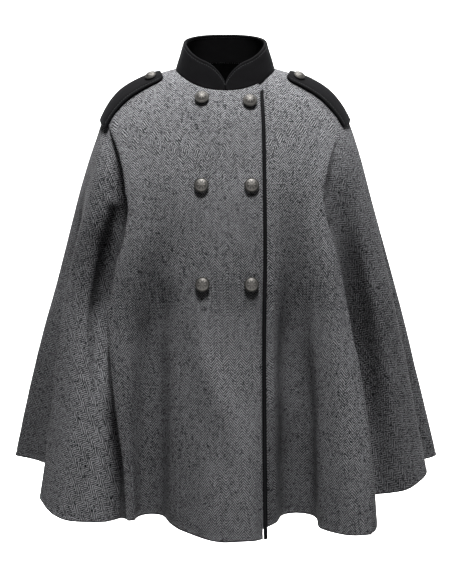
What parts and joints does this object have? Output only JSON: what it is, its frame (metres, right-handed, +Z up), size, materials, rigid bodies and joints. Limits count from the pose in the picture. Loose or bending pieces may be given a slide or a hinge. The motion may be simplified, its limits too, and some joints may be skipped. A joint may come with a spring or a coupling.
{
  "type": "cape",
  "caption": "Herringbone wool cape, filled out as worn, double-breasted with arm slits, a black stand collar, bound front edge and buttoned shoulder straps.",
  "frame": {"origin": "middle of the neck, level with the collar seam at the side of the neck, where the cape hangs from the wearer's shoulders", "axes": "+Z up, -Y towards the front of the cape, +X towards the wearer's left side"},
  "size_m": [0.6777, 0.4533, 0.7353],
  "materials": {
    "tweed": "grey herringbone wool tweed",
    "felt": "black milled wool",
    "pewter": "antique pewter plating"
  },
  "bodies": {
    "root": {"front_right": "tweed", "front_left": "tweed", "side_right": "tweed", "side_left": "tweed", "back": "tweed", "collar": "felt", "neck_facing": "felt", "epaulette_right": "felt", "epaulette_left": "felt", "front_binding": "felt", "button_top_right": "pewter", "button_top_left": "pewter", "button_middle_right": "pewter", "button_middle_left": "pewter", "button_bottom_right": "pewter", "button_bottom_left": "pewter", "button_epaulette_right": "pewter", "button_epaulette_left": "pewter"}
  },
  "joints": []
}
